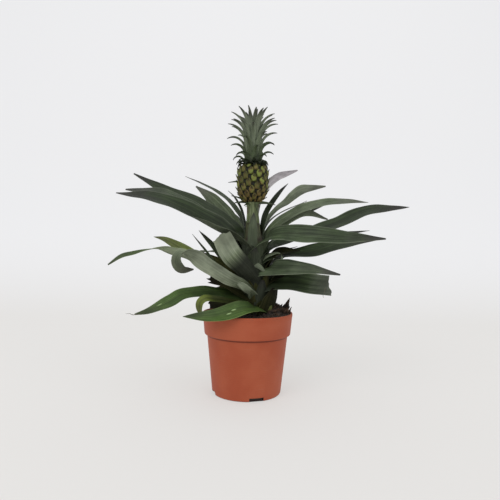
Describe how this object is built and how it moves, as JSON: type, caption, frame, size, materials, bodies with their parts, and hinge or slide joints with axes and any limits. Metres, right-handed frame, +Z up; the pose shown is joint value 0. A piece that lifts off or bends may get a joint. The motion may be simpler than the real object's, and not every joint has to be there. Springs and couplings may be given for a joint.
{
  "type": "potted pineapple plant",
  "caption": "Pineapple plant in a round tapered plastic nursery pot: arching strap leaves in a loose rosette, an upright stalk and one small crowned unripe fruit.",
  "frame": {"origin": "centre of the circle that the pot's underside rests on, at floor level", "axes": "+Z up along the pot's axis; -Y towards the front, the side that the broad torn leaf and the clasping leaf bases face; +X to the right seen from the front, the side of the longest leaf"},
  "size_m": [0.4048, 0.2585, 0.3815],
  "materials": {
    "pot": "satin",
    "soil": "matte",
    "stem": "satin",
    "peduncle": "satin",
    "fruit": "satin",
    "crown": "matte",
    "leaf_dark": "satin",
    "leaf_grey": "matte",
    "leaf_fresh": "satin"
  },
  "bodies": {
    "root": {"pot": "pot", "soil": "soil", "stem": "stem", "peduncle": "peduncle", "fruit": "fruit", "crown": "crown", "leaf_left_high": "leaf_dark", "leaf_left_long": "leaf_dark", "leaf_left_under_long": "leaf_dark", "leaf_left_back_narrow": "leaf_dark", "leaf_left_back_wide": "leaf_grey", "leaf_left_stalk": "leaf_dark", "leaf_left_spike_low": "leaf_dark", "leaf_left_spike_high": "leaf_dark", "leaf_left_hooked": "leaf_grey", "leaf_left_yellow": "leaf_fresh", "leaf_left_twisted": "leaf_dark", "leaf_left_green": "leaf_fresh", "leaf_left_curl": "leaf_fresh", "leaf_left_over_rim": "leaf_fresh", "leaf_left_shade": "leaf_dark", "leaf_left_shade_low": "leaf_dark", "leaf_back_pale": "leaf_grey", "leaf_right_spear": "leaf_dark", "leaf_right_bent": "leaf_grey", "leaf_right_thin": "leaf_dark", "leaf_right_arched": "leaf_grey", "leaf_right_short": "leaf_dark", "leaf_right_sliver": "leaf_dark", "leaf_right_long": "leaf_dark", "leaf_right_front": "leaf_dark", "leaf_right_small": "leaf_dark", "leaf_right_dark": "leaf_dark", "leaf_right_low": "leaf_dark", "leaf_right_broken": "leaf_dark", "leaf_front_torn": "leaf_grey", "leaf_front_stalk": "leaf_dark", "leaf_front_sheath": "leaf_dark", "leaf_right_sheath": "leaf_dark", "leaf_back_1": "leaf_dark", "leaf_back_2": "leaf_dark", "leaf_back_3": "leaf_dark", "leaf_back_4": "leaf_dark", "leaf_back_5": "leaf_dark", "leaf_back_6": "leaf_dark", "leaf_back_7": "leaf_dark", "leaf_back_8": "leaf_dark", "leaf_back_9": "leaf_dark"}
  },
  "joints": []
}
